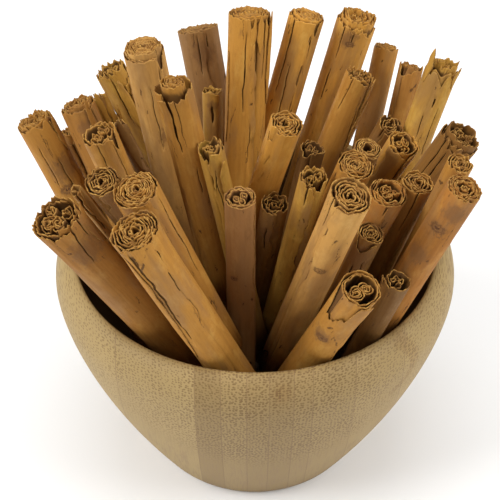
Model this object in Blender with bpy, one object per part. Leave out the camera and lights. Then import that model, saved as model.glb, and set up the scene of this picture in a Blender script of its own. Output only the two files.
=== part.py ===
# Cinnamon quills standing fanned out in a turned bowl of laminated bamboo.
#
# The bowl stands on z = 0 with its axis on the Z axis. The side that the photograph shows faces -Y.
# A quill is a band of bark rolled into a scroll. Each one leans from its foot, down in the bowl,
# to its head above the mouth, and keeps a small gap to its neighbours and to the bowl.

import math
import random
from collections import namedtuple

import bpy
import bmesh
import numpy as np
from mathutils import Vector

MM = 0.001

# Bowl, in millimetres
BOWL_HEIGHT = 94.0
BELLY_RADIUS = 73.0
BELLY_HEIGHT = 81.8
LIP_RADIUS = 65.0
LIP_EDGE = 1.2
FOOT_RADIUS = 42.5
FOOT_EDGE = 1.5
WALL = 6.0
FLOOR = 11.0
FLOOR_CORNER = 12.0
WALL_FULLNESS = 1.43
BOWL_SIDES = 40
WALL_RINGS = 7
RIM_RINGS = 4
INNER_SHARES = (0.84, 0.66, 0.48, 0.30, 0.13, 0.03)

# Scroll of every quill: sizes are shares of the quill's radius. The first turn keeps nearly to that
# radius and then dips under its own outer edge, and the turns inside it are even.
DIP = 0.20
DIP_SHARPNESS = 3.0
PITCH = 0.25
BARK = 0.13
UNEVEN = 0.05
TURNS = 2.5
STEPS_PER_TURN = 12
NARROW = 7.0
NARROW_TURNS = 1.5

# Ends of the quills: lengths in millimetres, angles from the outer edge of the bark inward
RAG_UP = 0.3
RAG_DOWN = 1.1
PROUD = 3.0
PROUD_FROM = math.radians(330)
PROUD_RAMP = math.radians(60)
SPLIT = 1.6
SPLIT_SPAN = math.radians(75)
CRACKS = (math.radians(105), math.radians(225))
CRACK_HALF_ANGLE = math.radians(7)
CRACK_DEPTH = 0.08
NECK = 0.72

# Settling: clearances in millimetres, and the share of a push that moves a head and not its foot
QUILL_GAP = 0.45
BOWL_GAP = 0.6
HEAD_SHARE = 0.35
SETTLE_ROUNDS = 600
SETTLE_LEVELS = 28

# One row for each quill: where its head and its foot are, across, back and up, then its width,
# all in millimetres, its bark, and what its head shows: plain, proud, split, or cracked
Quill = namedtuple("Quill", "head foot width bark head_form")
QUILLS = (
    Quill((-76, 7, 143), (-38, -4, 41), 12.5, "tan", "plain"),
    Quill((-69, 23, 126), (-29, 12, 18), 8.0, "umber", "split"),
    Quill((-61, 8, 149), (-32, -9, 61), 12.5, "tan", "plain"),
    Quill((-50, -21, 158), (-25, -18, 67), 11.0, "tan", "cracked"),
    Quill((-55, 20, 144), (-17, -9, 50), 7.5, "golden", "split"),
    Quill((-44, -14, 156), (-9, 0, 41), 5.0, "umber", "plain"),
    Quill((-52, 35, 145), (-6, 22, 35), 11.5, "olive", "split"),
    Quill((-37, 14, 165), (-23, 13, 60), 14.0, "tan", "proud"),
    Quill((-28, -7, 168), (-12, -9, 77), 13.0, "golden", "split"),
    Quill((-22, 63, 146), (-6, 45, 43), 15.5, "umber", "plain"),
    Quill((-16, 48, 127), (-16, 30, 31), 7.5, "tan", "plain"),
    Quill((-2, 44, 163), (-6, 19, 71), 15.5, "golden", "cracked"),
    Quill((19, 49, 159), (-6, 33, 60), 12.5, "tan", "plain"),
    Quill((37, 53, 153), (7, 42, 34), 14.5, "golden", "proud"),
    Quill((38, 37, 141), (9, 24, 50), 11.0, "golden", "split"),
    Quill((50, 63, 137), (24, 4, 15), 9.5, "golden", "plain"),
    Quill((58, 49, 137), (35, 6, 20), 9.0, "umber", "plain"),
    Quill((66, 25, 155), (40, 4, 65), 11.5, "olive", "cracked"),
    Quill((67, 30, 114), (14, 0, 19), 6.5, "reddish", "plain"),
    Quill((48, 16, 134), (17, 31, 44), 9.0, "tan", "plain"),
    Quill((51, 1, 137), (23, 19, 57), 11.0, "golden", "plain"),
    Quill((68, -9, 146), (23, -3, 52), 13.5, "tan", "proud"),
    Quill((64, -34, 156), (41, -23, 62), 8.5, "tan", "plain"),
    Quill((64, -45, 155), (36, -32, 62), 11.5, "reddish", "plain"),
    Quill((53, -24, 140), (22, -10, 14), 10.5, "umber", "plain"),
    Quill((43, -31, 142), (12, -12, 26), 12.0, "tan", "plain"),
    Quill((28, -56, 161), (5, -21, 50), 12.5, "golden", "plain"),
    Quill((37, -40, 132), (12, -24, 37), 9.0, "umber", "cracked"),
    Quill((32, -67, 133), (8, -35, 45), 13.0, "golden", "cracked"),
    Quill((46, -49, 120), (22, -37, 28), 8.5, "olive", "plain"),
    Quill((38, -7, 141), (15, 13, 27), 9.5, "tan", "plain"),
    Quill((33, -19, 143), (11, 2, 52), 12.0, "tan", "plain"),
    Quill((21, 20, 121), (3, 10, 21), 9.0, "umber", "plain"),
    Quill((19, -23, 142), (5, -8, 51), 9.5, "olive", "plain"),
    Quill((10, -6, 151), (-16, 10, 37), 11.0, "golden", "split"),
    Quill((7, -13, 122), (-3, 5, 30), 9.5, "umber", "plain"),
    Quill((-5, -29, 138), (-4, -25, 40), 10.5, "reddish", "plain"),
    Quill((-15, -14, 148), (2, -17, 56), 8.5, "olive", "split"),
    Quill((-36, -53, 161), (-10, -37, 77), 13.5, "tan", "plain"),
    Quill((-36, -69, 158), (-3, -48, 62), 14.0, "golden", "cracked"),
    Quill((-47, -47, 159), (-5, -13, 46), 11.0, "tan", "plain"),
    Quill((-61, -55, 152), (-23, -36, 69), 15.0, "tan", "cracked"),
    Quill((-56, -42, 152), (-12, -20, 41), 4.0, "tan", "plain"),
)

# Bark and bamboo: base colour and roughness
FINISHES = {
    "bamboo": ((0.46, 0.33, 0.17), 0.45),
    "tan": ((0.42, 0.21, 0.06), 0.75),
    "golden": ((0.50, 0.27, 0.07), 0.72),
    "reddish": ((0.36, 0.15, 0.05), 0.75),
    "olive": ((0.33, 0.22, 0.05), 0.78),
    "umber": ((0.22, 0.11, 0.04), 0.80),
}


def clear_scene():
    for item in list(bpy.data.objects):
        bpy.data.objects.remove(item, do_unlink=True)


def finish(name):
    """The named material, made the first time that it is asked for."""
    found = bpy.data.materials.get(name)
    if found:
        return found
    colour, roughness = FINISHES[name]
    made = bpy.data.materials.new(name)
    made.use_nodes = True
    shader = made.node_tree.nodes["Principled BSDF"]
    shader.inputs["Base Color"].default_value = (*colour, 1.0)
    shader.inputs["Roughness"].default_value = roughness
    shader.inputs["Metallic"].default_value = 0.0
    return made


def add_object(name, shape, material):
    """Turn a bmesh into one object of the scene, shaded smooth between its sharp edges."""
    bmesh.ops.recalc_face_normals(shape, faces=shape.faces)
    mesh = bpy.data.meshes.new(name)
    shape.to_mesh(mesh)
    shape.free()
    mesh.shade_smooth()
    mesh.set_sharp_from_angle(angle=math.radians(40))
    mesh.materials.append(finish(material))
    placed = bpy.data.objects.new(name, mesh)
    bpy.context.scene.collection.objects.link(placed)
    return placed


def outer_radius(height):
    """Outer radius of the wall at a height between the underside and the belly."""
    share = min(max(height / BELLY_HEIGHT, 0.0), 1.0)
    return FOOT_RADIUS + (BELLY_RADIUS - FOOT_RADIUS) * (1.0 - (1.0 - share) ** WALL_FULLNESS)


def inner_radius(height):
    """Inner radius of the wall, which is nowhere wider than the mouth."""
    corner = max(FLOOR + FLOOR_CORNER - height, 0.0) / FLOOR_CORNER
    rounding = FLOOR_CORNER * (1.0 - math.sqrt(max(1.0 - corner * corner, 0.0)))
    return min(outer_radius(height) - WALL, LIP_RADIUS) - rounding


def bowl_profile():
    """Half section of the bowl, from the middle of the underside round to the middle of the floor."""
    points = [(0.0, 0.0), (FOOT_RADIUS - FOOT_EDGE, 0.0)]
    for ring in range(WALL_RINGS):
        height = FOOT_EDGE + (BELLY_HEIGHT - FOOT_EDGE) * ring / WALL_RINGS
        points.append((outer_radius(height), height))
    for ring in range(RIM_RINGS + 1):
        turn = math.radians(90) * ring / RIM_RINGS
        across = LIP_RADIUS + LIP_EDGE + (BELLY_RADIUS - LIP_RADIUS - LIP_EDGE) * math.cos(turn)
        points.append((across, BELLY_HEIGHT + (BOWL_HEIGHT - BELLY_HEIGHT) * math.sin(turn)))
    points.append((LIP_RADIUS, BOWL_HEIGHT - LIP_EDGE))
    for share in INNER_SHARES:
        height = FLOOR + (BOWL_HEIGHT - FLOOR) * share
        points.append((inner_radius(height), height))
    points.append((inner_radius(FLOOR), FLOOR))
    points.append((0.0, FLOOR))
    return points


def make_bowl():
    shape = bmesh.new()
    section = [shape.verts.new((across * MM, 0.0, height * MM)) for across, height in bowl_profile()]
    edges = [shape.edges.new(pair) for pair in zip(section, section[1:])]
    bmesh.ops.spin(shape, geom=section + edges, cent=(0, 0, 0), axis=(0, 0, 1),
                   angle=math.radians(360), steps=BOWL_SIDES, use_merge=True)
    bmesh.ops.remove_doubles(shape, verts=shape.verts, dist=0.00001)
    add_object("bowl", shape, "bamboo")


def closest(head_a, foot_a, head_b, foot_b):
    """Shares from foot to head at which two quills' axes come closest, and the way from b to a."""
    along_a = head_a - foot_a
    along_b = head_b - foot_b
    between = foot_a - foot_b
    aa = (along_a * along_a).sum(1)
    bb = (along_b * along_b).sum(1)
    ab = (along_a * along_b).sum(1)
    a_between = (along_a * between).sum(1)
    b_between = (along_b * between).sum(1)
    share_a = np.clip((ab * b_between - bb * a_between) / np.maximum(aa * bb - ab * ab, 1e-9), 0, 1)
    share_b = np.clip((ab * share_a + b_between) / bb, 0, 1)
    share_a = np.clip((ab * share_b - a_between) / aa, 0, 1)
    apart = between + share_a[:, None] * along_a - share_b[:, None] * along_b
    return share_a, share_b, apart


def settle(heads, feet, radii):
    """Push the quills apart and off the bowl, their feet more than their heads, until all are clear."""
    count = len(radii)
    first, second = np.triu_indices(count, 1)
    needed = radii[first] + radii[second] + QUILL_GAP
    levels = [(height, inner_radius(height)) for height in np.linspace(FLOOR, BOWL_HEIGHT, SETTLE_LEVELS)]
    for _ in range(SETTLE_ROUNDS):
        share_a, share_b, apart = closest(heads[first], feet[first], heads[second], feet[second])
        distance = np.maximum(np.linalg.norm(apart, axis=1), 1e-6)
        push = np.clip(needed - distance, 0.0, 1.0)[:, None] * apart / distance[:, None] * 0.5
        for side, share, way in ((first, share_a, 1.0), (second, share_b, -1.0)):
            np.add.at(heads, side, way * push * (share * HEAD_SHARE)[:, None])
            np.add.at(feet, side, way * push * (1.0 - share * HEAD_SHARE)[:, None])
        for height, bowl_radius in levels:
            lean = heads - feet
            share = np.clip((height - feet[:, 2]) / lean[:, 2], 0.0, 1.0)[:, None]
            spot = feet + share * lean
            reach = np.hypot(spot[:, 0], spot[:, 1])
            room = bowl_radius - BOWL_GAP - radii * np.linalg.norm(lean, axis=1) / lean[:, 2]
            over = np.where(height > feet[:, 2] - radii, np.maximum(reach - room, 0.0), 0.0)
            inward = -spot * (over / np.maximum(reach, 1e-6))[:, None]
            inward[:, 2] = 0.0
            heads += inward * share * HEAD_SHARE
            feet += inward * (1.0 - share * HEAD_SHARE)
        lean = heads - feet
        tilt = np.hypot(lean[:, 0], lean[:, 1]) / np.linalg.norm(lean, axis=1)
        feet[:, 2] = np.maximum(feet[:, 2], FLOOR + BOWL_GAP + radii * tilt + RAG_DOWN)
    return heads, feet


def scroll_share(angle):
    """Share of the radius at which the bark lies, at an angle from its outer edge inward."""
    turn = angle / math.tau
    return 1.0 - DIP * min(turn, 1.0) ** DIP_SHARPNESS - PITCH * max(turn - 1.0, 0.0)


def head_offsets(quill, angles, draw):
    """How far the end of the band stands above or below a straight cut, at each station."""
    offsets = []
    for angle in angles:
        offset = draw.uniform(-RAG_DOWN, RAG_UP)
        if quill.head_form == "proud":
            offset += PROUD * min(max((angle - PROUD_FROM) / PROUD_RAMP, 0.0), 1.0)
        offsets.append(offset)
    return offsets


def band_angles(turns, cracks):
    """Stations round the scroll, from its outer edge inward, with a close pair beside each crack."""
    steps = round(turns * STEPS_PER_TURN)
    angles = [math.tau * step / STEPS_PER_TURN for step in range(steps + 1)]
    for crack in cracks:
        angles = [a for a in angles if abs(a - crack) > CRACK_HALF_ANGLE * 1.5]
        angles += [crack - CRACK_HALF_ANGLE, crack, crack + CRACK_HALF_ANGLE]
    return sorted(angles)


def make_quill(name, quill, head, foot):
    """A band of bark rolled from its outer edge inward, ragged at both ends."""
    draw = random.Random(name)
    radius = quill.width / 2.0
    length = (head - foot).length
    turns = TURNS if quill.width > NARROW else NARROW_TURNS
    hand = draw.choice((-1.0, 1.0))
    seam = draw.uniform(0.0, math.tau)
    phase = draw.uniform(0.0, math.tau)
    cracks = CRACKS if quill.head_form == "cracked" else ()
    angles = band_angles(turns, cracks)
    rags = head_offsets(quill, angles, draw)
    foot_rags = [draw.uniform(-RAG_DOWN, RAG_UP) for _ in angles]
    split = SPLIT if quill.head_form == "split" else 0.0
    levels = (0.0, NECK, 1.0) if quill.head_form in ("split", "cracked") else (0.0, 1.0)

    def ring(level):
        """Outer and inner points of the band at one level, from foot (0) to head (1)."""
        points = []
        for index, angle in enumerate(angles):
            bearing = seam + hand * angle
            even = 1.0 - UNEVEN * (0.5 + 0.5 * math.sin(2.0 * bearing + phase))
            out = radius * (scroll_share(angle) + even - 1.0)
            inside = out - radius * BARK
            if level == 1.0:
                lift = split * max(1.0 - angle / SPLIT_SPAN, 0.0)
                dip = radius * CRACK_DEPTH if angle in cracks else 0.0
                out, inside = out + lift - dip, inside + lift
            end = rags[index] if level == 1.0 else foot_rags[index] if level == 0.0 else 0.0
            up = level * length + end
            points.append([(r * math.cos(bearing), r * math.sin(bearing), up) for r in (out, inside)])
        return points

    shape = bmesh.new()
    rings = [[[shape.verts.new(Vector(point) * MM) for point in pair] for pair in ring(level)]
             for level in levels]
    for low, high in zip(rings, rings[1:]):
        for (out_a, in_a), (out_b, in_b), (out_c, in_c), (out_d, in_d) in zip(low, low[1:], high[1:], high):
            shape.faces.new((out_a, out_b, out_c, out_d))
            shape.faces.new((in_b, in_a, in_d, in_c))
        for edge in (0, -1):
            shape.faces.new((*low[edge], *reversed(high[edge])))
    for end in (rings[0], rings[-1]):
        for (out_a, in_a), (out_b, in_b) in zip(end, end[1:]):
            shape.faces.new((out_a, out_b, in_b, in_a))
    made = add_object(name, shape, quill.bark)
    made.location = foot * MM
    made.rotation_mode = "QUATERNION"
    made.rotation_quaternion = (head - foot).to_track_quat("Z", "Y")


def main():
    clear_scene()
    make_bowl()
    heads = np.array([quill.head for quill in QUILLS], float)
    feet = np.array([quill.foot for quill in QUILLS], float)
    radii = np.array([quill.width / 2.0 for quill in QUILLS])
    heads, feet = settle(heads, feet, radii)
    for number, quill in enumerate(QUILLS, start=1):
        make_quill(f"quill_{number:02d}", quill, Vector(heads[number - 1]), Vector(feet[number - 1]))


main()
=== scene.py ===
import math
import random
from collections import namedtuple
from functools import cache

import bmesh
import bpy
import numpy as np
from bmesh.types import BMEdge, BMFace, BMVert
from mathutils import Matrix, Vector, noise


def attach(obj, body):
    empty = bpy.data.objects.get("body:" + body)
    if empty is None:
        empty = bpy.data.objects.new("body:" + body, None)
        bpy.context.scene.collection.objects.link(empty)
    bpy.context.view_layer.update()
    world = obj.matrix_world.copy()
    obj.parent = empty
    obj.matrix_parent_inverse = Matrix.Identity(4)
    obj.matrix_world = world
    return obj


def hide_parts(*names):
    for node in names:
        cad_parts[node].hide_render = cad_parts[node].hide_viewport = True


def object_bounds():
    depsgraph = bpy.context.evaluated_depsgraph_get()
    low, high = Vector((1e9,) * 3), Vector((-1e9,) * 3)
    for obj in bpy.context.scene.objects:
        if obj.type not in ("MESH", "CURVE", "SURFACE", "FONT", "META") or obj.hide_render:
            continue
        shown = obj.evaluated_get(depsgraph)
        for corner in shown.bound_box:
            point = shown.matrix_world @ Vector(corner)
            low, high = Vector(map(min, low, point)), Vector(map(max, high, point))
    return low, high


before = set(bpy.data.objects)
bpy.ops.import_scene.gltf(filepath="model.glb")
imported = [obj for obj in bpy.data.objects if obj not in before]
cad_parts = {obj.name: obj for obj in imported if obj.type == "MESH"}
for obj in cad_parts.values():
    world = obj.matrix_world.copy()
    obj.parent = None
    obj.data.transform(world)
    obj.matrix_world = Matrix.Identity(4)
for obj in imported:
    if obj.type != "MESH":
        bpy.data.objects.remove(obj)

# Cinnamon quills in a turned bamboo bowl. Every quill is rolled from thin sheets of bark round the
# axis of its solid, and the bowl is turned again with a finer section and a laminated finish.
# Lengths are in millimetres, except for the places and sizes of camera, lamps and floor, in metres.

cad_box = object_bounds()

MM = 0.001

# Camera: its place, its turn up from looking straight down, and its lens and sensor in millimetres
CAMERA_PLACE = Vector((-0.0018, -0.3396, 0.3930))
CAMERA_TILT = math.radians(48.1)
CAMERA_LENS = 89.7
SENSOR = 36.0

# Light and ground: the strength of the white surroundings, where the lamps aim, the name, place,
# size and power of each, and how far the floor reaches
SKY_STRENGTH = 0.37
LAMP_AIM = Vector((0, 0, 0.08))
LAMPS = (
    ("key", (-0.95, -0.35, 0.95), 0.7, 14.6),
    ("fill", (0.95, -0.25, 0.85), 0.8, 10.5),
    ("top", (0.0, 0.10, 1.3), 0.8, 6.0),
)
GROUND_REACH = 6.0

# Bowl: the sizes of the solid that it replaces. The wall swells from the foot to the belly by a
# power, and turns in from there to the lip.
BOWL_HEIGHT = 94.0
BELLY_RADIUS = 73.0
BELLY_HEIGHT = 81.8
LIP_RADIUS = 65.0
LIP_EDGE = 1.2
FOOT_RADIUS = 42.5
FOOT_EDGE = 1.5
WALL = 6.0
FLOOR = 11.0
FLOOR_CORNER = 12.0
WALL_FULLNESS = 1.43

# Bowl: how finely it is turned
BOWL_SIDES = 144
WALL_RINGS = 30
RIM_RINGS = 12
INNER_RINGS = 26

# Quills: each is a little fuller than its solid, because the quills touch where the solids keep a
# gap. A head's level lies a drop below the top of its solid, and no sheet passes a limit below it.
FULLER = 1.04
SKIN_GAP = 0.05
HEAD_DROP = 0.9
HEAD_LIMIT = 0.1
CENTRE_STEPS = 300

# Sheets of bark: how thick they are, and how finely their section and their length are drawn. A
# ring is a depth below the head. The wrap, the turns on the outside, has more rings for its cracks
# and torn edges.
THICKNESS = 0.33
SECTION_STEP = 0.62
LARGEST_STEP = 0.42
WRAP_TURNS = 1.3
WRAP_RINGS = [0.0, 0.4, 1.0, 1.8, *(1.8 + 1.7 * step for step in range(1, 26)), 50.0, 60.0, 75.0, 92.0]
CORE_RINGS = (0.0, 0.4, 1.2, 3.0, 6.0, 12.0, 30.0)

# Cracks: each opens between a close pair of stations, and no other station lies near the pair. A
# crack and the wavy outer edge push the bark beside them along its section, this far.
PAIR_HALF = 0.02
PAIR_CLEAR = 0.3
CRACK_REACH = 3.5
EDGE_REACH = 4.0

# Heads: how far down they flare, how far down and how far round the outer edge lifts off, and how
# far down the shade painted into the gaps between the turns gets full
FLARE_REACH = 25.0
LIFT_REACH = 12.0
LIFT_TURN = math.radians(120)
SHADE_DEPTH = 1.9

# Turns: how many from the outer edge a tear can bare, and where those under the wrap start to rise
BARED_TURNS = 1.8
RISE_TURNS = 0.9

# Curls inside a quill: the radius of each as a share of their room, by the number of curls, and the
# least radius of a hollow
CURL_SIZES = {0: (), 1: (0.84,), 2: (0.60, 0.54), 3: (0.56, 0.50, 0.44), 4: (0.52, 0.46, 0.40, 0.36)}
LEAST_HOLLOW = 0.35

# Seeds: what those of a quill's curls and splints are counted up by
CURL_SEEDS = 50
SPLINT_SEEDS = 300

# Marks of the bark. A bearing is in degrees to the right of the side that faces the camera, as is
# the half width of a tear, and a start is a distance below the head. A splint's top is a height
# above the head, and its lean is how far its tip stands off.
Tear = namedtuple("Tear", "bearing half_width depth")
Crack = namedtuple("Crack", "bearing start length width slant", defaults=(0.45, 0.0))
Spot = namedtuple("Spot", "bearing start size")
Splint = namedtuple("Splint", "bearing top length width lean")

# What the corners of the bark carry: their place on the bark, and their places on its marks
PLACES = ("grain", "knot", "stain")

# Place on a mark, for bark that none is near. Its last part is 1 where one is.
FAR_OFF = (50.0, 50.0, 0.0)

# A quill's style: the tone of its bark, the pitch of its turns, its hollow as a share of its radius,
# its number of curls, the bearing of its outer edge (seam), how ragged its head is, how far its
# inner roll stands proud (dome), how far its outer edge lifts off, how much its head flares, how
# much lower the back of its head is (slope), and its marks
Style = namedtuple(
    "Style",
    "tone pitch hollow curls seam ragged dome lift flare slope tears cracks knots stains splints")
FINE = Style(tone="tan", pitch=0.58, hollow=0.12, curls=0, seam=120, ragged=0.8, dome=0.0, lift=0.0,
             flare=0.03, slope=0.0, tears=(), cracks=(), knots=(), stains=(), splints=())
LOOSE = FINE._replace(pitch=1.0, hollow=0.16, ragged=1.2, lift=0.4)
STUFFED = FINE._replace(pitch=0.68, hollow=0.74, curls=3, seam=60, ragged=1.4, lift=0.6)


def fine(tone, **own):
    """A quill rolled tightly from one long sheet."""
    return FINE._replace(tone=tone, **own)


def loose(tone, **own):
    """A quill whose one sheet is rolled with wide gaps."""
    return LOOSE._replace(tone=tone, **own)


def stuffed(tone, **own):
    """A quill with smaller curls inside one or two turns of bark."""
    return STUFFED._replace(tone=tone, **own)


# Quills of the darkest tone have shade painted into the colour of their bark
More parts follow.
